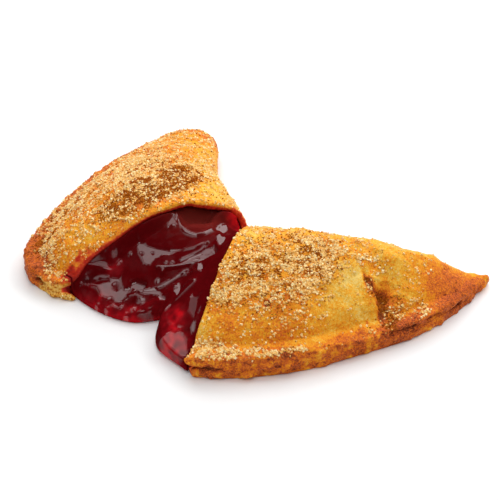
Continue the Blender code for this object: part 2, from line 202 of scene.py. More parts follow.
# Where the crease is deeper, and the short wrinkles that the dough pushed up past it: height,
# width and the line in plan. A wrinkle's height also paints a highlight where it is raised and
# shade where it is sunk.
CREASE_DEEPER = ((33.4, -41.8, 1.5, 0.45), (37.4, -42.0, 1.6, 0.85), (37.3, -45.4, 1.3, 0.45))
WRINKLES = (
    (0.40, 0.50, ((35.2, -39.3), (36.5, -38.5), (38.0, -38.2), (39.5, -38.4), (41.4, -39.2))),
    (0.34, 0.55, ((38.6, -42.6), (40.2, -41.4), (42.8, -41.2), (45.6, -41.8))),
    (0.30, 0.50, ((38.4, -44.8), (40.2, -44.2), (42.2, -44.6))),
    (-0.30, 0.60, ((38.0, -46.4), (39.8, -45.6), (42.0, -46.0))),
    (0.30, 0.50, ((37.6, -48.2), (39.6, -47.6), (42.4, -48.2))),
    (-0.30, 0.55, ((38.0, -50.4), (40.4, -49.8), (43.6, -50.2))),
)
STEAM_HOLE = (3.4, -52.5)
STEAM_HOLE_DEPTH = 1.1
SLIT_DEPTH = 2.5

# Random relief in layers: height, size in millimetres and seed.
DOUGH_HILLS = ((0.26, 7.0, 1), (0.14, 3.1, 2))
DOUGH_BUMPS = ((0.07, 1.5, 3), (0.05, 0.85, 9))
RIM_BUBBLES = ((0.46, 3.8, 7), (0.30, 1.6, 6), (0.12, 0.9, 14))
SHADE_CLOUDS = ((0.07, 9.0, 21), (0.06, 2.8, 22))
RIM_MOTTLING = ((0.24, 2.6, 23), (0.20, 1.1, 25))
SUGAR_DRIFTS = ((0.5, 4.5, 31), (0.45, 1.8, 32))


def smoothstep(x):
    """0 up to 0 and 1 from 1 on, with a soft change between them."""
    x = np.clip(x, 0.0, 1.0)
    return x * x * (3 - 2 * x)


def bell(distance, width):
    """1 in the middle, and almost 0 from twice the width on."""
    return np.exp(-((distance / width) ** 2))


def points_of(piece):
    """The corners of a piece's mesh, in millimetres."""
    found = np.empty(len(piece.data.vertices) * 3, np.float32)
    piece.data.vertices.foreach_get("co", found)
    return found.reshape(-1, 3).astype(float) / MM


def set_points(piece, points):
    piece.data.vertices.foreach_set("co", (points * MM).astype(np.float32).ravel())
    piece.data.update()


def normals_of(piece):
    found = np.empty(len(piece.data.vertices) * 3, np.float32)
    piece.data.vertex_normals.foreach_get("vector", found)
    return found.reshape(-1, 3).astype(float)


def relief(points, size, seed):
    """Smooth random hills from about -1 to 1, roughly this many millimetres apart."""
    spots = points / size + np.array([7.3, 3.1, 5.7]) * seed
    return 1.6 * np.array([noise.noise(spot) for spot in spots.tolist()])


def layered(points, layers, base=0.0):
    """Layers of random relief on a base value."""
    return sum((height * relief(points, size, seed) for height, size, seed in layers), base)


def from_line(points, line):
    """How far each point lies from a line of corners, seen from above."""
    flat = points[:, :2]
    nearest = np.full(len(flat), np.inf)
    for start, end in zip(np.array(line), np.array(line)[1:]):
        along = end - start
        share = np.clip((flat - start) @ along / (along @ along), 0, 1)
        away = np.linalg.norm(flat - start - share[:, None] * along, axis=1)
        nearest = np.minimum(nearest, away)
    return nearest


def patches(points, spots):
    """The sum of soft round patches, seen from above."""
    total = np.zeros(len(points))
    for x, y, radius, strength in spots:
        away = np.hypot(points[:, 0] - x, points[:, 1] - y)
        total += strength * smoothstep(1.5 - away / radius)
    return total


def rounded(corners, count):
    """A smooth line through a few corners, as that many points."""
    corners = np.array(corners, float)
    knots = np.concatenate([[0.0], np.cumsum(np.linalg.norm(np.diff(corners, axis=0), axis=1))])
    slopes = np.gradient(corners, knots, axis=0)
    places = np.linspace(0, knots[-1], count)
    left = np.clip(np.searchsorted(knots, places, side="right") - 1, 0, len(knots) - 2)
    span = (knots[left + 1] - knots[left])[:, None]
    x = (places - knots[left])[:, None] / span
    return (
        corners[left] * (1 + 2 * x) * (1 - x) ** 2
        + corners[left + 1] * x**2 * (3 - 2 * x)
        + slopes[left] * span * x * (1 - x) ** 2
        - slopes[left + 1] * span * x**2 * (1 - x)
    )


def ways_of(half):
    """The unit vectors along a half's cut, from the fold outwards, and from the cut into it."""
    along = np.array([math.cos(half.cut_turn), math.sin(half.cut_turn)])
    into = half.side * np.array([-math.sin(half.cut_turn), math.cos(half.cut_turn)])
    return along, into


def surface_of(node):
    """The faces of one of the solids, to be searched for near points and hits."""
    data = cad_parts[node].data
    corners = [vertex.co.copy() for vertex in data.vertices]
    return BVHTree.FromPolygons(corners, [tuple(face.vertices) for face in data.polygons])


def distances(surface, points):
    return np.array([surface.find_nearest(Vector(point))[3] for point in (points * MM).tolist()]) / MM


def under_outside(points, from_cut, from_fold):
    """How deep each point lies under the outside of its half, in the plane of the cut."""
    spots = np.column_stack([from_fold, points[:, 2]])
    at_cut = spots[np.abs(from_cut - 1.2) < 0.8]
    steps = np.arange(math.floor(at_cut[:, 0].min()), math.ceil(at_cut[:, 0].max())) + 0.5
    tops = [at_cut[np.abs(at_cut[:, 0] - step) < 0.5, 1].max(initial=0.0) for step in steps]
    profile = [(steps[0] - 0.5, 0.0), *zip(steps, tops), (steps[-1] + 0.5, 0.0)]
    return from_line(spots, profile)


def new_object(name, data):
    made = bpy.data.objects.new(name, data)
    bpy.context.scene.collection.objects.link(made)
    return made


def fine_copy(name, node, grain, smoothing, lumps=()):
    """A finely divided copy of a solid, with lumps of the same stuff grown onto it."""
    mesh = bmesh.new()
    mesh.from_mesh(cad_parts[node].data)
    for x, y, z, *radii in lumps:
        place = Matrix.Translation(Vector((x, y, z)) * MM) @ Matrix.Diagonal((*radii, 1.0))
        bmesh.ops.create_icosphere(mesh, subdivisions=3, radius=MM, matrix=place)
    data = bpy.data.meshes.new(name)
    mesh.to_mesh(data)
    mesh.free()
    piece = new_object(name, data)
    grains = piece.modifiers.new("grain", "REMESH")
    grains.mode = "VOXEL"
    grains.voxel_size = grain * MM
    grains.use_smooth_shade = True
    softened = piece.modifiers.new("softened", "SMOOTH")
    softened.factor = 0.5
    softened.iterations = smoothing
    graph = bpy.context.evaluated_depsgraph_get()
    piece.data = bpy.data.meshes.new_from_object(piece.evaluated_get(graph))
    piece.modifiers.clear()
    piece.data.materials.clear()
    piece.data.name = name
    return piece


def keep(piece, name, values):
    """Stores one number for each corner, for the piece's material and for what is strewn on it."""
    layer = piece.data.attributes.new(name, "FLOAT", "POINT")
    layer.data.foreach_set("value", np.clip(values, 0, 1).astype(np.float32))


def zones_of(points, normals, half):
    """Where each corner lies on its half: distances in millimetres, and masks from 0 to 1."""
    along, into = ways_of(half)
    flat = points[:, :2] - half.fold_end
    height = points[:, 2]
    zones = SimpleNamespace(into=into, from_cut=flat @ into, from_fold=flat @ along)
    edge_line = half.fold_end + rounded(half.sealed_edge, 60) @ np.array([into, along])
    zones.from_rim = from_line(points, edge_line)
    zones.from_jam = distances(surface_of("filling"), points)
    zones.rim_top = np.interp(zones.from_cut, *np.array(half.rim_height).T)
    zones.outside = smoothstep((zones.from_jam - 1.4) / 0.9)
    zones.underside = smoothstep((-normals[:, 2] - 0.45) / 0.3) * smoothstep((1.6 - height) / 0.8)
    zones.upward = smoothstep((normals[:, 2] - 0.15) / 0.5) * zones.outside
    zones.low = smoothstep((zones.rim_top + 0.6 - height) / 1.2)
    facing_out = smoothstep((0.75 - np.abs(normals[:, 2])) / 0.35)
    zones.rim_face = smoothstep(1.4 - zones.from_rim / 1.8) * facing_out * zones.low * zones.outside
    zones.ledge = smoothstep(1.5 - zones.from_rim / 5.0) * smoothstep((zones.rim_top + 2.4 - height) / 1.6)
    zones.ledge *= smoothstep((normals[:, 2] - 0.2) / 0.3) * zones.outside
    zones.groove = bell(height - 0.52 * zones.rim_top, 0.5)
    seam = np.interp(zones.from_cut, *np.array(half.seam_height).T)
    zones.slit = bell(height - seam, 0.6) * np.minimum(patches(points, half.slits), 1.0)
    zones.bubbled = layered(points, RIM_BUBBLES)
    zones.torn = smoothstep(1.5 - from_line(points, half.torn_line) / 2.8)
    zones.torn *= smoothstep((5.4 - height) / 0.9)
    return zones


def fried_relief(points, half, zones):
    """How far frying raised each corner: hills, blisters and pits, and the bubbled rim."""
    blisters = 0.30 * smoothstep((relief(points, 4.2, 4) - 0.35) / 0.5)
    pits = 0.22 * smoothstep((relief(points, 1.9, 5) - 0.75) / 0.3)
    rise = layered(points, DOUGH_HILLS) + layered(points, DOUGH_BUMPS) + blisters - pits
    filled = half.seam_filled * (0.45 + 0.5 * relief(points * (1, 1, 0.1), 6.0, 11))
    rise += zones.rim_face * (zones.bubbled + filled * zones.groove - SLIT_DEPTH * zones.slit)
    bead = patches(points, half.bead) * smoothstep(1.5 - zones.from_rim / 2.4) * zones.low
    rise += bead + zones.torn * (0.40 * relief(points * (0.35, 0.35, 1.5), 1.5, 13))
    rise += zones.ledge * 0.18 * relief(points, 2.2, 12)
    rise += smoothstep(1 - np.abs(zones.from_cut) / 1.4) * 0.12 * relief(points, 1.1, 8)
    return rise * (zones.outside * (1 - zones.underside))


def browning(points, half, zones, rise):
    """How brown the bare dough is, more towards the rim and on high spots, with painted shade in the slits.
    """
    browned_and_shade = layered(points, SHADE_CLOUDS, half.shade)
    band = smoothstep((zones.rim_top + half.brown_band * 0.52 - points[:, 2]) / 2.4)
    band *= smoothstep((half.brown_band - zones.from_rim + 0.8 * relief(points, 4.0, 24)) / 3.6)
    browned_and_shade += 0.25 * band
    browned_and_shade += zones.rim_face * (layered(points, RIM_MOTTLING) - 0.28 * zones.bubbled)
    browned_and_shade += (0.09 + 0.06 * zones.groove) * zones.rim_face
    browned_and_shade += 0.08 * smoothstep(rise / 0.6) + 0.10 * zones.underside
    browned_and_shade += patches(points, half.browned_and_shade) - patches(points, half.pale)
    browned_and_shade = np.where(browned_and_shade > 0.6, 0.6 + 0.2 * np.tanh((browned_and_shade - 0.6) / 0.2), browned_and_shade)
    # Painted shade: the slits where the rim's two layers gape are made browner.
    return browned_and_shade + 0.55 * zones.slit * zones.rim_face


def dusting(points, half, zones):
    """How thick sugar and cinnamon lie, and how much the dough darkens among them: fine dust, and painted
    shade in the gaps between sugar clumps.
    """
    clumps = 0.35 + 1.3 * smoothstep((relief(points, 1.7, 35) + 0.45) / 0.9)
    thickness = half.dusted + patches(points, half.sugared)
    bank = np.minimum(patches(points, half.bank), 1.0)
    bank *= smoothstep((relief(points, 2.6, 33) + 0.95) / 1.1)
    bank *= 0.45 + 0.65 * clumps
    on_ledge = smoothstep((zones.rim_top + 4.0 - points[:, 2]) / 2.0)
    clean = smoothstep((zones.rim_top - 0.5 - points[:, 2]) / 0.8)
    clean *= smoothstep(1.4 - zones.from_rim / 2.2)
    sugared = thickness * layered(points, SUGAR_DRIFTS, 0.75) * clumps
    sugared += bank * smoothstep((zones.from_rim - 0.2) / 0.8) * on_ledge
    sugared *= 1 - clean
    cinnamon = (half.spiced + patches(points, half.cinnamon)) * (0.8 + 0.6 * relief(points, 3.0, 34))
    cinnamon *= 1 - clean
    dusty = smoothstep((thickness + bank) / 0.6) * (1 - clean)
    cinnamon += 0.16 * dusty * (0.6 + 0.8 * relief(points, 2.4, 36))
    # Fine dust darkens the dough, with painted shade most where the sugar clumps thin out.
    return sugared, cinnamon, dusty * (0.09 - 0.12 * (clumps - 1.0))


def soaking(points, normals, half, zones):
    """How much jam soaked into the dough: beside the jam, along the cut and inside the roof."""
    height = points[:, 2]
    depth = under_outside(points, zones.from_cut, zones.from_fold)
    beside_jam = smoothstep((1.75 - zones.from_jam) / 0.7)
    far_end = smoothstep(1.2 - np.abs(zones.from_fold - 57.5) / 7.5)
    near_cut = smoothstep(1.6 - np.abs(zones.from_cut) / (1.5 + 2.0 * far_end))
    near_cut *= smoothstep((3.3 + 1.8 * far_end - zones.from_jam) / 1.4)
    lower_half = smoothstep((zones.from_fold - 28.0) / 16.0)
    along_cut = half.soak * near_cut * (0.10 + 0.16 * lower_half + 0.46 * far_end)
    along_cut *= 0.8 + 0.5 * relief(points, 2.2, 41)
    fold_end = smoothstep((15.0 - zones.from_fold) / 9.0) * smoothstep(1.5 - zones.from_cut / 2.2)
    fold_end = half.soak * fold_end * (0.34 + 0.10 * relief(points, 2.0, 42))
    cut_wall = smoothstep(1.6 - np.abs(zones.from_cut) / 2.0)
    cut_wall *= 0.14 + 0.48 * smoothstep((depth - 0.4) / 1.1)
    cut_wall = half.soak * cut_wall * smoothstep((depth - 0.15) / 0.3)
    roof = smoothstep((depth - 1.5) / 0.5) * smoothstep((24.0 - zones.from_cut) / 4.0)
    roof *= smoothstep(-normals[:, 2] / 0.3)
    roof = half.soak * roof * 0.75 * smoothstep((height - 5.0) / 2.0)
    soaked = np.maximum.reduce([beside_jam, along_cut, fold_end, cut_wall, roof])
    smears = patches(points, half.smears) * smoothstep((4.2 - height) / 1.0)
    soaked = np.maximum(soaked * (1 - 0.9 * zones.torn), smears)
    thin_wall = smoothstep((9.5 - zones.from_fold) / 4.0) * smoothstep((height - 9.0) / 3.0)
    wall_face = smoothstep((-(normals[:, :2] @ zones.into) - 0.3) / 0.4)
    wall_face *= smoothstep(2.0 - np.abs(zones.from_cut) / 1.6)
    wall_face = half.soak * thin_wall * wall_face * (0.60 + 0.12 * relief(points, 1.6, 43))
    soaked = np.maximum(soaked, wall_face)
    thin_wall = np.maximum(thin_wall, 0.8 * far_end * smoothstep((height - 5.4) / 1.4))
    return np.minimum(soaked, 1 - 0.38 * thin_wall)


def press_crease(points, half, zones, rise, browned_and_shade):
    """Adds the crease by the tip, its wrinkles and the steam hole to the rise and to the colour level, with
    painted shade in the crease, in the hole and on sunk wrinkles, and a painted highlight on raised
    wrinkles.
    """
    valley = from_line(points, rounded(half.crease, 40))
    raised = zones.outside * (1 - zones.underside) * smoothstep((points[:, 2] - 4.0) / 2.0)
    fading = 0.35 + 0.65 * smoothstep((points[:, 1] + 52.0) / 5.0)
    rise -= (0.55 * bell(valley, 1.1) + patches(points, CREASE_DEEPER)) * fading * raised
    # Painted shade: the dough is made browner along the crease's valley.
    browned_and_shade += 0.26 * bell(valley, 1.0) * fading * raised
    for height, width, line in WRINKLES:
        pushed = bell(from_line(points, rounded(line, 16)), width) * raised
        rise += height * pushed
        # Painted highlight on raised wrinkles, and painted shade on sunk ones.
        browned_and_shade -= 0.25 * height * pushed
    from_hole = np.hypot(points[:, 0] - STEAM_HOLE[0], points[:, 1] - STEAM_HOLE[1])
    rise -= STEAM_HOLE_DEPTH * bell(from_hole, 0.6) * zones.upward
    # Painted shade: the steam hole is made dark brown.
    browned_and_shade += 1.3 * bell(from_hole, 0.7)


def fried_half(name, node, half):
    """One half of the turnover: the fine mesh, its bumps, and the numbers its material reads."""
    piece = fine_copy(name, node, DOUGH_GRAIN, DOUGH_SMOOTHING, half.lumps)
    points = points_of(piece)
    normals = normals_of(piece)
    zones = zones_of(points, normals, half)
    rise = fried_relief(points, half, zones)
    browned_and_shade = browning(points, half, zones, rise)
    sugared, cinnamon, dust_and_shade = dusting(points, half, zones)
    browned_and_shade += dust_and_shade
    soaked = soaking(points, normals, half, zones)
    if half.crease:
        press_crease(points, half, zones, rise, browned_and_shade)
    points += normals * rise[:, None]
    notch = smoothstep(1.3 - zones.from_cut / 3.4) * smoothstep((zones.from_fold - 53.0) / 3.0) * half.notch
    notch *= np.interp(points[:, 2], (0.0, 3.1, 3.8, 6.4), (1.3, 0.4, 1.5, 0.0))
    points[:, :2] += zones.into * notch[:, None]
    points[:, 2] = np.maximum(points[:, 2], 0.0)
    set_points(piece, points)
    keep(piece, "browned_and_shade", browned_and_shade)
    keep(piece, "sugared", sugared * zones.upward)
    keep(piece, "cinnamon", cinnamon * zones.upward)
    keep(piece, "soaked", soaked)
    keep(piece, "crumb", zones.torn * (1 - soaked))
    return piece


dough_left = fried_half("fried_dough_left", "crust_left", LEFT_HALF)
dough_right = fried_half("fried_dough_right", "crust_right", RIGHT_HALF)

# Colours in linear light. A ramp is a list of places from 0 to 1 and their colours.
FRIED_COLOURS = (
    (0.0, (0.91, 0.63, 0.17)),
    (0.2, (0.90, 0.485, 0.048)),
    (0.4, (0.88, 0.335, 0.014)),
    (0.6, (0.76, 0.185, 0.015)),
    (0.8, (0.54, 0.098, 0.020)),
    (1.0, (0.16, 0.032, 0.008)),
)
CRUMB_COLOURS = ((0.40, (0.50, 0.13, 0.015)), (0.48, (0.82, 0.40, 0.05)), (0.60, (0.92, 0.60, 0.16)))
SUGAR_DUST_COLOURS = ((0.0, (0.84, 0.46, 0.09)), (1.0, (0.98, 0.68, 0.26)))
CINNAMON_HAZE = (0.46, 0.135, 0.009, 1)
CINNAMON_SPECK = (0.27, 0.068, 0.007, 1)
SOAKED_COLOURS = (
    (0.1, (0.86, 0.28, 0.05)),
    (0.36, (0.78, 0.095, 0.022)),
    (0.62, (0.56, 0.030, 0.014)),
    (0.90, (0.18, 0.008, 0.006)),
)
DUST_SIZE = 0.55
DOUGH_MOTTLING = 0.95
DOUGH_BUMP_HEIGHT = 0.26
DOUGH_GLINT = 0.08


def fill(tree, sockets, values):
    """Sets inputs to values, or joins them to the outputs of other nodes."""
    for name, value in values.items():
        if isinstance(value, bpy.types.NodeSocket):
            tree.links.new(value, sockets[name])
        else:
            sockets[name].default_value = value


def add(tree, kind, inputs=None, **settings):
    """A shader node with its settings and inputs."""
    made = tree.nodes.new("ShaderNode" + kind)
    for name, value in settings.items():
        setattr(made, name, value)
    fill(tree, made.inputs, inputs or {})
    return made


def sums(tree, operation, first, second=0.0, third=0.0):
    made = add(tree, "Math", {0: first, 1: second, 2: third}, operation=operation)
    return made.outputs[0]


def stepped(tree, value, low, high):
    """0 below low and 1 above high, with a soft change between them."""
    made = add(
        tree, "MapRange", {"Value": value, "From Min": low, "From Max": high},
        interpolation_type="SMOOTHSTEP",
    )
    return made.outputs["Result"]


def blended(tree, share, first, second):
    made = add(tree, "Mix", {0: share, 6: first, 7: second}, data_type="RGBA")
    return made.outputs[2]


def shaded(tree, value, stops):
    """A colour for each value, through a few colour stops."""
    made = add(tree, "ValToRGB", {"Fac": value})
    bar = made.color_ramp
    bar.elements[0].position, bar.elements[1].position = stops[0][0], stops[-1][0]
    bar.elements[0].color, bar.elements[1].color = (*stops[0][1], 1), (*stops[-1][1], 1)
    for place, colour in stops[1:-1]:
        bar.elements.new(place).color = (*colour, 1)
    return made.outputs["Color"]


def kept(tree, name):
    return add(tree, "Attribute", attribute_name=name).outputs["Fac"]


def speckle(tree, spots, size, detail=2.0):
    """Fine noise, from 0 to 1, with grains of about this many millimetres."""
    made = add(
        tree, "TexNoise",
        {"Vector": spots, "Scale": 1 / (size * MM), "Detail": detail, "Roughness": 0.55},
    )
    return made.outputs["Fac"]


def centred(tree, value, middle=0.5):
    return sums(tree, "SUBTRACT", value, middle)


def bumped(tree, height, strength, distance):
    """Normals for bumps of up to this many millimetres."""
    values = {"Height": height, "Strength": strength, "Distance": distance * MM}
    return add(tree, "Bump", values).outputs["Normal"]


def placed(tree, group, inputs):
    """A shader node group placed in a material, with its own values."""
    return add(tree, "Group", inputs, node_tree=group).outputs


def new_group(name, inputs, outputs):
    """An empty shader node group with named sockets."""
    tree = bpy.data.node_groups.new(name, "ShaderNodeTree")
    for way, sockets in (("INPUT", inputs), ("OUTPUT", outputs)):
        for socket, kind in sockets:
            tree.interface.new_socket(name=socket, in_out=way, socket_type="NodeSocket" + kind)
    return tree, tree.nodes.new("NodeGroupInput").outputs, tree.nodes.new("NodeGroupOutput").inputs


def new_material(name):
    """A material, its node tree, its surface's inputs and the place on the piece in metres."""
    material = bpy.data.materials.new(name)
    material.use_nodes = True
    tree = material.node_tree
    place = add(tree, "TexCoord").outputs["Object"]
    return material, tree, tree.nodes["Principled BSDF"].inputs, place


def fried_colour_group():
    """Dough colours from pale gold to dark brown, mottled as hot oil leaves them."""
    tree, given, made = new_group(
        "fried_colour",
        [("Browned And Shade", "Float"), ("Mottling", "Float"), ("Place", "Vector")],
        [("Color", "Color"), ("Roughness", "Float"), ("Height", "Float")],
    )
    place = given["Place"]
    broad = centred(tree, speckle(tree, place, 3.2, 3.0))
    fine = centred(tree, speckle(tree, place, 0.75, 3.0))
    grit = centred(tree, speckle(tree, place, 0.38, 2.0))
    drift = sums(tree, "MULTIPLY_ADD", fine, 0.85, sums(tree, "MULTIPLY", grit, 0.9))
    drift = sums(tree, "MULTIPLY_ADD", broad, 0.45, drift)
    level = sums(tree, "MULTIPLY_ADD", drift, given["Mottling"], given["Browned And Shade"])
    height = sums(tree, "MULTIPLY_ADD", speckle(tree, place, 0.9, 4.0), 0.6, broad)
    fill(tree, made, {
        "Color": shaded(tree, level, FRIED_COLOURS),
        "Roughness": sums(tree, "MULTIPLY_ADD", speckle(tree, place, 1.6), 0.3, 0.34),
        "Height": sums(tree, "MULTIPLY_ADD", grit, 0.7, height),
    })
    return tree


def dusting_group():
    """Fine sugar dust and ground cinnamon, between the larger crystals."""
    tree, given, made = new_group(
        "cinnamon_sugar_dust",
        [("Color", "Color"), ("Sugar", "Float"), ("Cinnamon", "Float"), ("Place", "Vector")],
        [("Color", "Color"), ("Sugar Mask", "Float"), ("Height", "Float")],
    )
    place = given["Place"]
    cells = add(
        tree, "TexVoronoi",
        {"Vector": place, "Scale": 1 / (DUST_SIZE * MM), "Randomness": 1.0},
    )
    chance = add(tree, "SeparateColor", {"Color": cells.outputs["Color"]}).outputs
    dot = stepped(tree, cells.outputs["Distance"], 0.48, 0.30)
    sugar_here = stepped(tree, sums(tree, "SUBTRACT", given["Sugar"], chance[0]), -0.04, 0.06)
    sugar = sums(tree, "MULTIPLY", dot, sugar_here)
    brown_here = stepped(tree, sums(tree, "SUBTRACT", given["Cinnamon"], chance[1]), -0.04, 0.06)
    brown = sums(tree, "MULTIPLY", dot, brown_here)
    haze = sums(tree, "MULTIPLY", given["Cinnamon"], speckle(tree, place, 1.1, 3.0))
    warmed = blended(tree, sums(tree, "MULTIPLY", haze, 0.95), given["Color"], CINNAMON_HAZE)
    spiced = blended(tree, sums(tree, "MULTIPLY", brown, 0.75), warmed, CINNAMON_SPECK)
    tone = shaded(tree, chance[2], SUGAR_DUST_COLOURS)
    dusted = blended(tree, sums(tree, "MULTIPLY", sugar, 0.6), spiced, tone)
    height = sums(tree, "MAXIMUM", sugar, brown)
    fill(tree, made, {"Color": dusted, "Sugar Mask": sugar, "Height": height})
    return tree


def soak_group():
    """Jam that soaked into the dough: a red to orange stain, and how wet it is."""
    tree, given, made = new_group(
        "jam_soak",
        [("Color", "Color"), ("Soaked", "Float"), ("Place", "Vector")],
        [("Color", "Color"), ("Wet", "Float")],
    )
    cloudy = centred(tree, speckle(tree, given["Place"], 0.9, 3.0))
    ragged = sums(tree, "MULTIPLY_ADD", cloudy, 0.45, given["Soaked"])
    stain = stepped(tree, ragged, 0.12, 0.62)
    red = shaded(tree, ragged, SOAKED_COLOURS)
    colour = blended(tree, stain, given["Color"], red)
    fill(tree, made, {"Color": colour, "Wet": stepped(tree, ragged, 0.35, 0.75)})
    return tree


fried_colour = fried_colour_group()
cinnamon_sugar_dust = dusting_group()
jam_soak = soak_group()


def fried_dough_material(name):
    """The fried dough: browning with some painted shade, then dust, then the jam's stain, over fine bumps.
    """
    material, tree, surface, place = new_material(name)
    fried = placed(
        tree, fried_colour,
        {"Browned And Shade": kept(tree, "browned_and_shade"), "Mottling": DOUGH_MOTTLING, "Place": place},
    )
    crumb_colour = shaded(tree, speckle(tree, place, 0.8, 4.0), CRUMB_COLOURS)
    base = blended(tree, kept(tree, "crumb"), fried["Color"], crumb_colour)
    dust = placed(tree, cinnamon_sugar_dust, {
        "Color": base, "Sugar": kept(tree, "sugared"), "Cinnamon": kept(tree, "cinnamon"), "Place": place,
    })
    soak = placed(
        tree, jam_soak, {"Color": dust["Color"], "Soaked": kept(tree, "soaked"), "Place": place},
    )
    dry = sums(tree, "MULTIPLY_ADD", dust["Sugar Mask"], -0.15, fried["Roughness"])
    rough = sums(tree, "MULTIPLY_ADD", soak["Wet"], -0.32, dry)
    height = sums(tree, "MULTIPLY_ADD", dust["Height"], 0.8, fried["Height"])
    calm = sums(tree, "SUBTRACT", 1.0, sums(tree, "MULTIPLY", soak["Wet"], 0.7))
    fill(tree, surface, {
        "Base Color": soak["Color"],
        "Roughness": sums(tree, "MAXIMUM", rough, 0.14),
        "Normal": bumped(tree, sums(tree, "MULTIPLY", height, calm), 1.0, DOUGH_BUMP_HEIGHT),
        "Specular IOR Level": DOUGH_GLINT,
    })
    return material


dough_left.data.materials.append(fried_dough_material("golden_fried_dough_left"))
dough_right.data.materials.append(fried_dough_material("golden_fried_dough_right"))
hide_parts("crust_left")
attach(dough_left, "root")
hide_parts("crust_right")
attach(dough_right, "root")

# The jam. Thick dark red berry jam fills both halves and joins them; it sagged from under the
# roof of the left half, ran forward in folds and lumps, and a thin stream ended in a round drop.
JAM_GRAIN = 0.36
JAM_SMOOTHING = 8
# Smooth flats that mirror the lights: shine, the middle of their sideways tilt in degrees, and
# the corners in plan. A flat keeps the jam's own slope as far as the two tilts that follow allow.
JAM_FLATS = (
    (1.0, 1.0, (
        (-35.6, -20.7), (-34.6, -21.1), (-33.4, -21.4), (-32.7, -22.3), (-30.3, -23.1),
        (-27.8, -23.7), (-25.6, -24.4), (-21.4, -24.5), (-23.8, -25.1), (-25.6, -25.8),
        (-28.0, -25.7), (-28.6, -26.3), (-29.8, -26.4), (-31.0, -27.3), (-31.6, -28.3),
        (-32.5, -28.4), (-33.8, -27.6), (-34.4, -26.1), (-35.4, -24.5), (-35.8, -22.6),
    )),
    (1.0, -2.0, (
        (-30.0, -29.1), (-28.5, -29.2), (-26.1, -29.3), (-24.0, -29.3), (-22.2, -28.9),
        (-19.5, -27.2), (-16.5, -25.8), (-14.7, -24.2), (-12.9, -23.8), (-12.3, -23.0),
        (-11.3, -25.4), (-11.6, -27.4), (-14.6, -28.6), (-17.1, -28.8), (-19.5, -29.4),
        (-21.9, -29.8), (-24.3, -30.2), (-27.0, -30.3), (-27.4, -31.6), (-28.0, -31.6),
        (-28.2, -30.4), (-29.7, -30.0),
    )),
    (0.9, -1.0, (
        (-26.7, -18.8), (-26.2, -16.9), (-24.8, -14.8), (-23.9, -15.2), (-23.7, -18.5),
        (-24.9, -18.4), (-26.4, -19.4),
    )),
    (0.9, -4.0, (
        (-11.6, -13.7), (-10.1, -12.0), (-8.6, -11.9), (-8.2, -13.6), (-9.4, -17.2), (-10.9, -17.1),
        (-11.9, -15.5),
    )),
    (0.8, -4.0, (
        (-11.5, -19.5), (-10.9, -17.8), (-10.0, -19.8), (-8.9, -19.8), (-9.2, -22.6),
        (-10.4, -24.4), (-11.5, -21.3),
    )),
    (0.8, -4.0, ((-17.3, -30.1), (-15.4, -31.0), (-15.1, -33.2), (-16.2, -34.1), (-17.2, -32.8))),
    (1.0, 1.0, (
        (-53.1, -28.3), (-50.9, -29.4), (-48.2, -30.8), (-47.2, -32.4), (-46.4, -34.3),
        (-44.5, -35.1), (-43.0, -34.7), (-41.9, -36.1), (-40.4, -36.3), (-39.2, -36.1),
        (-38.0, -35.9), (-38.3, -34.5), (-37.1, -34.2), (-35.9, -34.2), (-33.8, -34.1),
        (-32.6, -33.1), (-32.7, -32.0), (-33.9, -31.2), (-35.8, -30.5), (-37.3, -31.0),
        (-37.8, -32.4), (-39.4, -32.6), (-40.1, -30.9), (-40.5, -28.9), (-42.4, -28.8),
        (-43.9, -28.6), (-43.9, -29.8), (-45.8, -29.7), (-47.6, -30.0), (-50.2, -29.3),
    )),
    (1.0, -2.0, (
        (-35.9, -34.2), (-33.5, -34.7), (-31.3, -34.4), (-29.8, -34.6), (-28.3, -35.5),
        (-26.7, -37.9), (-26.4, -38.6), (-28.1, -38.6), (-29.2, -36.6), (-31.3, -36.1),
        (-33.4, -36.0), (-35.6, -34.8),
    )),
    (0.65, 0.0, (
        (-26.7, -54.8), (-25.8, -53.8), (-24.4, -53.5), (-22.9, -54.2), (-22.0, -53.5),
        (-20.6, -54.0), (-19.3, -56.5), (-19.0, -59.0), (-18.6, -60.5), (-19.5, -61.4),
        (-20.9, -60.9), (-22.7, -59.5), (-24.8, -57.7), (-26.3, -55.9),
    )),
    (1.0, -4.0, (
        (-18.6, -53.5), (-17.7, -52.1), (-16.9, -51.8), (-17.0, -54.3), (-17.5, -55.1),
        (-18.1, -55.6),
    )),
    (0.7, 0.0, ((-16.7, -49.4), (-16.4, -48.1), (-15.6, -48.0), (-15.7, -49.6), (-16.1, -49.9))),
    (0.8, 0.0, ((-21.7, -46.7), (-21.5, -45.7), (-20.3, -45.5), (-20.2, -46.9), (-20.8, -47.7))),
    (0.6, 0.0, ((-19.8, -43.9), (-18.9, -43.6), (-18.1, -42.2), (-18.3, -44.6))),
    (0.8, 0.0, ((-22.4, -51.9), (-21.9, -51.4), (-20.7, -52.1), (-21.2, -52.5))),
    (0.6, 2.0, (
        (-50.6, -25.4), (-48.6, -24.0), (-45.6, -24.2), (-43.2, -26.8), (-46.0, -26.6),
        (-48.3, -25.6),
    )),
    (0.35, -2.0, (
        (-18.9, -43.3), (-16.2, -44.2), (-16.4, -47.5), (-17.5, -51.3), (-19.6, -48.2),
        (-19.4, -45.2),
    )),
    (0.7, 2.0, (
        (-23.8, -34.6), (-22.6, -34.1), (-21.8, -37.0), (-22.4, -39.1), (-23.2, -39.6),
        (-24.0, -37.7),
    )),
)
JAM_FLATS_SIDEWAYS = 5.0
JAM_FLATS_FORWARD = (8.0, 27.0)
# Small pits in the flats: x, y and radius.
JAM_PITS = ((-42.1, -31.6, 1.3), (-34.4, -24.6, 0.6), (-31.0, -24.8, 0.5))
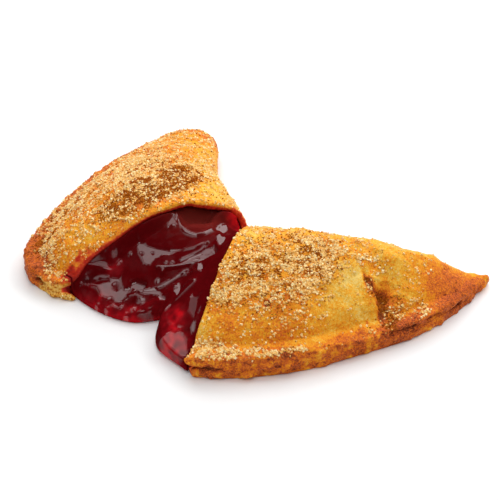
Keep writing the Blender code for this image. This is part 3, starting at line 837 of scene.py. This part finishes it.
# Thin ridges on the jam: shine, height, width and the line in plan.
JAM_RIDGES = (
    (1.0, 0.70, 0.60, (
        (-24.2, -15.0), (-23.2, -16.8), (-22.0, -18.8), (-20.6, -19.8), (-19.1, -20.2),
        (-17.4, -20.1), (-15.5, -19.2), (-14.1, -17.9), (-13.1, -17.0),
    )),
    (0.6, 0.30, 0.45, ((-21.4, -24.7), (-18.1, -24.0), (-15.7, -22.8), (-14.2, -22.0))),
    (0.8, 0.35, 0.45, (
        (-14.2, -22.0), (-15.1, -23.4), (-16.2, -24.7), (-18.6, -26.1), (-20.4, -27.0),
        (-22.2, -27.7),
    )),
    (0.8, 0.40, 0.50, (
        (-35.0, -34.6), (-31.9, -34.6), (-29.8, -34.4), (-27.4, -33.9), (-26.0, -33.3),
        (-23.9, -32.3), (-21.8, -31.3), (-20.3, -30.7),
    )),
    (0.7, 0.30, 0.50, ((-21.8, -31.3), (-19.9, -32.0), (-18.3, -32.6))),
    (0.8, 0.40, 0.45, (
        (-26.3, -44.4), (-24.4, -42.0), (-22.0, -40.8), (-19.6, -39.4), (-17.9, -38.2),
        (-18.1, -37.3), (-19.5, -36.4),
    )),
    (0.6, 0.25, 0.45, ((-18.8, -30.2), (-17.9, -33.0), (-16.2, -34.4))),
    (0.9, 0.35, 0.50, (
        (-53.1, -28.3), (-52.5, -27.5), (-51.0, -27.1), (-49.1, -27.3), (-47.1, -27.7),
        (-44.6, -28.4),
    )),
    (0.5, 0.25, 0.45, ((-25.9, -35.1), (-24.4, -34.5))),
    (0.8, 0.30, 0.45, ((-38.9, -36.1), (-38.0, -35.4), (-36.5, -35.4), (-34.3, -36.6))),
    (0.7, 0.30, 0.50, ((-42.8, -37.0), (-41.8, -38.2), (-40.5, -39.2))),
    (0.6, 0.25, 0.50, ((-34.4, -40.9), (-32.6, -41.0), (-30.5, -40.6))),
    (0.4, 0.25, 0.45, (
        (-27.0, -55.0), (-26.3, -56.6), (-24.8, -58.4), (-22.7, -60.2), (-20.6, -61.8),
    )),
)
# Small lumps in the jam: x, y, radius and height.
JAM_LUMPS = (
    (-29.3, -32.8, 1.08, 0.42), (-42.6, -23.6, 1.2, 0.42), (-41.3, -24.9, 1.32, 0.48),
    (-34.0, -37.6, 1.8, 0.54), (-44.3, -37.6, 1.2, 0.36), (-36.2, -39.7, 1.32, 0.36),
    (-20.7, -36.5, 1.08, 0.42), (-23.8, -35.6, 1.08, 0.36), (-45.0, -23.0, 0.96, 0.36),
    (-37.9, -23.7, 0.96, 0.36), (-26.7, -28.1, 0.84, 0.3), (-24.9, -28.3, 0.96, 0.36),
    (-10.5, -9.3, 0.84, 0.3), (-38.3, -40.7, 1.08, 0.3), (-40.0, -38.1, 1.2, 0.36),
    (-47.5, -35.5, 1.08, 0.3),
)
# Where the jam is painted brighter red: partly clearer jam, partly painted light that stands in
# for light shining through it and for light in the shaded gap by the left half's wall.
JAM_CLEAR_AND_PAINTED_LIGHT = (
    (-24.1, -47.1, 3.4, 0.50), (-22.2, -50.3, 3.2, 0.50), (-24.4, -52.0, 2.6, 0.45),
    (-38.6, -40.5, 2.6, 0.30), (-36.2, -41.2, 2.6, 0.50), (-42.7, -39.1, 2.6, 0.35),
    (-45.1, -34.6, 3.0, 0.25), (-42.5, -26.2, 2.4, 0.40), (-4.8, -7.4, 2.6, 0.5),
    (-6.8, -9.6, 2.4, 0.75), (-22.8, -57.4, 4.0, 0.8), (-25.7, -57.2, 2.5, 0.30),
    (-49.0, -33.0, 4.0, 0.25), (-30.0, -40.5, 3.0, 0.25),
)
JAM_HOLLOW = (-18.0, -12.2)
JAM_COLOURS = (
    (0.0, (0.092, 0.0016, 0.0028)),
    (0.35, (0.18, 0.0034, 0.0060)),
    (0.70, (0.34, 0.0045, 0.0090)),
    (1.0, (0.50, 0.006, 0.011)),
)
# Painted shade: the dim brown of the shaded hollow under the left half's roof, blended into the jam there.
JAM_HOLLOW_SHADE_COLOUR = (0.26, 0.030, 0.022, 1)
JAM_BUMP_HEIGHT = 0.10
JAM_GLOSS = 1.64


def inside(points, corners, softness):
    """1 inside a flat outline and 0 outside, with a soft edge. Seen from above."""
    corners = np.array(corners)
    turned = np.zeros(len(points), bool)
    for (x0, y0), (x1, y1) in zip(corners, np.roll(corners, -1, axis=0)):
        crosses = (y0 > points[:, 1]) != (y1 > points[:, 1])
        at = x0 + (points[:, 1] - y0) * (x1 - x0) / (y1 - y0 if y1 != y0 else 1.0)
        turned ^= crosses & (points[:, 0] < at)
    away = from_line(points, np.vstack([corners, corners[:1]]))
    return smoothstep(0.5 + np.where(turned, away, -away) / softness)


def below_roof(points, normals, past_left, along_left):
    """How far each point on the jam's top lies below the left half's roof, or its cut edge."""
    roof = surface_of("crust_left")
    into = ways_of(LEFT_HALF)[1]
    near = (normals[:, 2] > 0.05) & (past_left > -7.0) & (past_left < 12.0) & (along_left > 1.0)
    gap = np.zeros(len(points))
    for index in np.flatnonzero(near & (along_left < 62.0)):
        spot = points[index, :2] + into * max(1.0 - past_left[index], 0.0)
        hit = roof.ray_cast(Vector((*spot, 4.0)) * MM, Vector((0, 0, 1)))[0]
        if hit is not None:
            gap[index] = min(max(hit.z / MM - points[index, 2] - 0.1, 0.0), 9.0)
    return gap


def level_flats(points, shown, shine):
    """Levels the flats in the jam's top, and returns the shine with that of the flats."""
    for strength, sideways, outline in JAM_FLATS:
        around = inside(points, outline, 5.0) * shown
        share = inside(points, outline, 0.9) * shown
        heart = points[share > 0.5]
        middle = heart.mean(axis=0)
        slopes = np.linalg.lstsq(heart[:, :2] - middle[:2], heart[:, 2] - middle[2], rcond=None)[0]
        tilts = np.radians([sideways - JAM_FLATS_SIDEWAYS, sideways + JAM_FLATS_SIDEWAYS])
        slope_x = np.clip(slopes[0], *np.tan(tilts))
        slope_y = np.clip(slopes[1], *np.tan(np.radians(JAM_FLATS_FORWARD)))
        level = middle[2] + slope_y * (points[:, 1] - middle[1]) + slope_x * (points[:, 0] - middle[0])
        points[:, 2] += around * (level - points[:, 2]) * 0.8
        points[:, 2] += share * (level - points[:, 2])
        shine = np.maximum(shine, strength * inside(points, outline, 0.30))
    return shine


def poured_jam():
    """The jam's fine mesh, with its hollow, flats, ridges and lumps."""
    piece = fine_copy("berry_jam", "filling", JAM_GRAIN, JAM_SMOOTHING)
    points = points_of(piece)
    normals = normals_of(piece)
    left_along, left_into = ways_of(LEFT_HALF)
    right_into = ways_of(RIGHT_HALF)[1]
    past_left = (points[:, :2] - LEFT_HALF.fold_end) @ left_into
    past_right = (points[:, :2] - RIGHT_HALF.fold_end) @ right_into
    along_left = (points[:, :2] - LEFT_HALF.fold_end) @ left_along
    between = smoothstep((0.6 - past_left) / 1.2) * smoothstep((0.6 - past_right) / 1.2)
    shown = between * smoothstep((normals[:, 2] - 0.05) / 0.4)

    drawn_out = np.column_stack([past_left, along_left * 0.45, points[:, 2]])
    wrinkles = layered(drawn_out, ((0.30, 4.6, 51), (0.12, 2.1, 52)))
    front = smoothstep((9.0 - points[:, 2]) / 5.0)
    points[:, 2] += shown * (wrinkles + 0.12 * front * relief(points, 1.3, 53))

    gap = below_roof(points, normals, past_left, along_left)
    # Jam rises to meet the roof beside the mouth, and leaves the hollow open in its middle.
    beside = smoothstep((past_left + 2.4) / 2.2)
    in_mouth = smoothstep((past_left - 0.8) / 2.4)
    mouth = smoothstep(1.3 - np.abs(along_left - 18.5) / 8.0)
    over_edge = smoothstep((past_left + 1.6) / 1.2) * smoothstep((0.3 - past_left) / 0.5)
    filled = gap * (beside + (in_mouth - beside) * mouth)
    points[:, 2] += filled + 0.5 * over_edge * (gap > 0) * (1 - mouth)

    from_hollow = points[:, :2] - JAM_HOLLOW
    in_hollow = np.exp(-((from_hollow @ left_into / 5.5) ** 2) - (from_hollow @ left_along / 8.0) ** 2)
    in_hollow *= smoothstep((points[:, 2] - 9.0) / 5.0)
    points[:, 2] -= 0.5 * in_hollow * smoothstep((past_left + 6.0) / 2.5)

    shine = level_flats(points, shown, 0.02 + 0.03 * relief(points, 3.0, 55) * shown)
    for x, y, radius in JAM_PITS:
        pit = smoothstep(1.3 - np.hypot(points[:, 0] - x, points[:, 1] - y) / radius)
        points[:, 2] -= 0.3 * pit
        shine *= 1 - 0.9 * pit
    for strength, height, width, line in JAM_RIDGES:
        ridge = bell(from_line(points, rounded(line, 30)), width)
        points[:, 2] += shown * height * ridge
        shine = np.maximum(shine, strength * smoothstep(ridge / 0.75))
    for x, y, radius, height in JAM_LUMPS:
        lump = smoothstep(1 - np.hypot(points[:, 0] - x, points[:, 1] - y) / radius)
        points[:, 2] += shown * height * lump
        shine = np.maximum(shine, 0.9 * smoothstep(lump / 0.5))
    points[:, 2] = np.maximum(points[:, 2], 0.0)
    set_points(piece, points)

    # Painted light: jam within a few millimetres of the table is made brighter red, standing in for light
    # shining through thin jam.
    thin = smoothstep((3.6 - points[:, 2]) / 2.8) * 0.46
    keep(piece, "clear_and_painted_light", patches(points, JAM_CLEAR_AND_PAINTED_LIGHT) * (0.8 + 0.5 * relief(points, 2.0, 54)) + thin)
    keep(piece, "shine", shine)
    keep(piece, "hollow", in_hollow)
    return piece


def jam_material():
    """Dark red jam, with painted light where it is thin or clear and painted shade in the hollow under the
    roof, and glossiest where its skin lies smooth.
    """
    material, tree, surface, place = new_material("dark_berry_jam")
    cloudy = centred(tree, speckle(tree, place, 2.4, 3.0))
    level = sums(tree, "MULTIPLY_ADD", cloudy, 0.35, kept(tree, "clear_and_painted_light"))
    # Painted shade: the hollow's mask blends the jam's colour towards the hollow's brown.
    shade = sums(tree, "MULTIPLY", kept(tree, "hollow"), 0.8)
    patchy = sums(tree, "MULTIPLY_ADD", speckle(tree, place, 1.2, 3.0), 0.3, 0.88)
    bumps = bumped(tree, speckle(tree, place, 1.8, 2.0), 0.35, JAM_BUMP_HEIGHT)
    fill(tree, surface, {
        "Base Color": blended(tree, shade, shaded(tree, level, JAM_COLOURS), JAM_HOLLOW_SHADE_COLOUR),
        "Roughness": sums(tree, "MULTIPLY_ADD", speckle(tree, place, 1.4), 0.10, 0.20),
        "Normal": bumps,
        "Specular IOR Level": 0.0,
        "Coat Weight": sums(tree, "MULTIPLY", kept(tree, "shine"), patchy),
        "Coat Normal": bumps,
        "Coat IOR": JAM_GLOSS,
        "Coat Roughness": 0.05,
    })
    return material


jam = poured_jam()
jam.data.materials.append(jam_material())
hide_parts("filling")
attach(jam, "root")

# The coarse sugar. Cane sugar crystals, about 0.3 to 0.6 mm across, were strewn over the hot
# dough with ground cinnamon; they stick to its top and lie in a drift along the rim's ledge.
SUGAR_COUNT = 14500
SUGAR_SIZES = (0.28, 0.64)
SUGAR_COLOURS = ((0.0, (0.80, 0.40, 0.07)), (0.5, (0.96, 0.61, 0.19)), (1.0, (1.0, 0.86, 0.49)))
# A grain is a cube with its corners moved about, stretched, turned and about a quarter sunk in.
# Thick places draw more grains than their share, and small grains are the more common ones.
CUBE = np.array([[x, y, z] for x in (-1, 1) for y in (-1, 1) for z in (-1, 1)], float) / 2
CUBE_FACES = np.array([(0, 1, 3, 2), (4, 6, 7, 5), (0, 4, 5, 1), (2, 3, 7, 6), (0, 2, 6, 4), (1, 5, 7, 3)])
CORNERS_MOVED = 0.16
STRETCH = (0.7, 1.25)
LIFTED = 0.22
FOR_THICK_PLACES = 1.5
FOR_SMALL_GRAINS = 1.7


def strewn_places(pieces, density, count, rng):
    """Random places on the tops of the pieces, thicker where the kept number is higher."""
    starts, sides_a, sides_b, directions, weights = [], [], [], [], []
    for piece in pieces:
        points = points_of(piece)
        piece.data.calc_loop_triangles()
        corners = np.empty(len(piece.data.loop_triangles) * 3, np.int32)
        piece.data.loop_triangles.foreach_get("vertices", corners)
        corners = corners.reshape(-1, 3)
        values = np.empty(len(points), np.float32)
        piece.data.attributes[density].data.foreach_get("value", values)
        a, b, c = points[corners[:, 0]], points[corners[:, 1]], points[corners[:, 2]]
        across = np.cross(b - a, c - a)
        area = np.linalg.norm(across, axis=1)
        starts.append(a)
        sides_a.append(b - a)
        sides_b.append(c - a)
        directions.append(across / area[:, None])
        weights.append(area * values[corners].mean(axis=1) ** FOR_THICK_PLACES)
    weights = np.concatenate(weights)
    chosen = rng.choice(len(weights), count, p=weights / weights.sum())
    share = rng.random((count, 2))
    share = np.where(share.sum(axis=1, keepdims=True) > 1, 1 - share, share)
    spots = np.concatenate(starts)[chosen]
    spots += share[:, :1] * np.concatenate(sides_a)[chosen] + share[:, 1:] * np.concatenate(sides_b)[chosen]
    return spots, np.concatenate(directions)[chosen]


def random_turns(count, rng):
    """That many random rotations, as matrices."""
    q = rng.normal(size=(count, 4))
    q /= np.linalg.norm(q, axis=1, keepdims=True)
    w, x, y, z = q.T
    rows = [
        [1 - 2 * (y * y + z * z), 2 * (x * y - w * z), 2 * (x * z + w * y)],
        [2 * (x * y + w * z), 1 - 2 * (x * x + z * z), 2 * (y * z - w * x)],
        [2 * (x * z - w * y), 2 * (y * z + w * x), 1 - 2 * (x * x + y * y)],
    ]
    return np.array(rows).transpose(2, 0, 1)


def strewn(name, pieces, density, count, sizes, flatness, seed):
    """One mesh of many small uneven blocks that lie on the pieces."""
    rng = np.random.default_rng(seed)
    spots, directions = strewn_places(pieces, density, count, rng)
    smallest, largest = sizes
    size = smallest + (largest - smallest) * rng.random(count) ** FOR_SMALL_GRAINS
    shapes = CUBE + rng.uniform(-CORNERS_MOVED, CORNERS_MOVED, (count, 8, 3))
    stretch = rng.uniform(*STRETCH, (count, 3)) * (1.0, 1.0, flatness)
    shapes = shapes * (size[:, None] * stretch)[:, None, :]
    shapes = np.einsum("nij,nkj->nki", random_turns(count, rng), shapes)
    shapes += (spots + directions * (size * LIFTED)[:, None])[:, None, :]
    data = bpy.data.meshes.new(name)
    faces = (CUBE_FACES[None] + 8 * np.arange(count)[:, None, None]).reshape(-1, 4)
    data.from_pydata((shapes.reshape(-1, 3) * MM).tolist(), [], faces.tolist())
    tone = data.attributes.new("tone", "FLOAT", "POINT")
    tone.data.foreach_set("value", np.repeat(rng.random(count), 8).astype(np.float32))
    return new_object(name, data)


def grain_material(name, colours, roughness, glint):
    """Small hard grains, each with its own tone."""
    material, tree, surface, place = new_material(name)
    tone = centred(tree, kept(tree, "tone"), 0.15)
    cloud = sums(tree, "MULTIPLY_ADD", speckle(tree, place, 0.3), 0.3, tone)
    fill(tree, surface, {
        "Base Color": shaded(tree, cloud, colours),
        "Roughness": sums(tree, "MULTIPLY_ADD", speckle(tree, place, 0.4), 0.2, roughness),
        "Specular IOR Level": glint,
    })
    return material


dough_halves = (dough_left, dough_right)
sugar = strewn(
    "sugar_crystals", dough_halves, "sugared", SUGAR_COUNT, SUGAR_SIZES, flatness=0.8, seed=11,
)
sugar.data.materials.append(grain_material("cane_sugar", SUGAR_COLOURS, roughness=0.25, glint=0.18))
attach(sugar, "root")

# The ground cinnamon. Dark reddish brown flakes of bark, thinner than they are wide, that lie
# singly on the dough and thickest in a long patch on top of the left half.
CINNAMON_COUNT = 9500
CINNAMON_SIZES = (0.22, 0.48)
CINNAMON_COLOURS = ((0.0, (0.22, 0.042, 0.002)), (0.5, (0.41, 0.102, 0.006)), (1.0, (0.60, 0.20, 0.014)))
cinnamon = strewn(
    "cinnamon_flakes", dough_halves, "cinnamon", CINNAMON_COUNT, CINNAMON_SIZES, flatness=0.5, seed=12,
)
cinnamon.data.materials.append(
    grain_material("ground_cinnamon", CINNAMON_COLOURS, roughness=0.6, glint=0.04)
)
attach(cinnamon, "root")

# The studio: a white table, five soft lights behind, above, in front and at both sides, and the
# camera in front, looking down at 35 degrees.
CAMERA_AIM = Vector((-0.00140, -0.01444, 0.008))
CAMERA_HEIGHT = math.radians(35.0)
CAMERA_DISTANCE = 0.370
CAMERA_LENS = 85.0
TABLE_SIZE = 3.0
TABLE_GAP = 0.02
TABLE_COLOURS = ((0.3, (0.90, 0.90, 0.90)), (0.7, (0.93, 0.93, 0.93)))
ROOM_COLOUR = (0.04, 0.04, 0.041, 1)
# Name, turn round the food (0 is behind it and 90 to its right), height in degrees, distance,
# width, depth and watts.
SOFT_LIGHTS = (
    ("back_softbox", 8.0, 42.0, 0.60, 0.80, 0.42, 3.35),
    ("top_softbox", 10.0, 82.0, 0.70, 0.60, 0.45, 1.55),
    ("front_softbox", 182.0, 55.0, 0.75, 0.50, 0.40, 1.80),
    ("right_softbox", 80.0, 40.0, 0.70, 0.45, 0.40, 1.55),
    ("left_softbox", -97.0, 45.0, 0.70, 0.50, 0.50, 0.88),
)


def white_table():
    half = TABLE_SIZE / 2
    data = bpy.data.meshes.new("white_table")
    corners = [(-half, -half, 0), (half, -half, 0), (half, half, 0), (-half, half, 0)]
    data.from_pydata(corners, [], [(0, 1, 2, 3)])
    table = new_object("white_table", data)
    table.location.z = -TABLE_GAP * MM
    material, tree, surface, place = new_material("matte_white_paint")
    colour = shaded(tree, speckle(tree, place, 60.0), TABLE_COLOURS)
    fill(tree, surface, {"Base Color": colour, "Roughness": 0.9, "Specular IOR Level": 0.1})
    data.materials.append(material)


def aimed(name, data, away, distance):
    """A light or camera at a distance in the direction away, turned to look back at the food."""
    holder = new_object(name, data)
    holder.location = CAMERA_AIM + away * distance
    holder.rotation_mode = "QUATERNION"
    holder.rotation_quaternion = away.to_track_quat("Z", "Y")
    return holder


def soft_light(name, turn, height, distance, width, depth, watts):
    lamp = bpy.data.lights.new(name, "AREA")
    lamp.shape = "RECTANGLE"
    lamp.size = width
    lamp.size_y = depth
    lamp.energy = watts
    turn, height = math.radians(turn), math.radians(height)
    flat = math.cos(height)
    away = Vector((math.sin(turn) * flat, math.cos(turn) * flat, math.sin(height)))
    aimed(name, lamp, away, distance)


def camera():
    lens = bpy.data.cameras.new("camera")
    lens.lens = CAMERA_LENS
    lens.sensor_width = 36.0
    lens.clip_start = 0.01
    back = Vector((0, -math.cos(CAMERA_HEIGHT), math.sin(CAMERA_HEIGHT)))
    bpy.context.scene.camera = aimed("camera", lens, back, CAMERA_DISTANCE)


white_table()
for light in SOFT_LIGHTS:
    soft_light(*light)
camera()
world = bpy.data.worlds.new("studio")
bpy.context.scene.world = world
world.use_nodes = True
world.node_tree.nodes["Background"].inputs["Color"].default_value = ROOM_COLOUR
bpy.context.scene.view_settings.view_transform = "Standard"
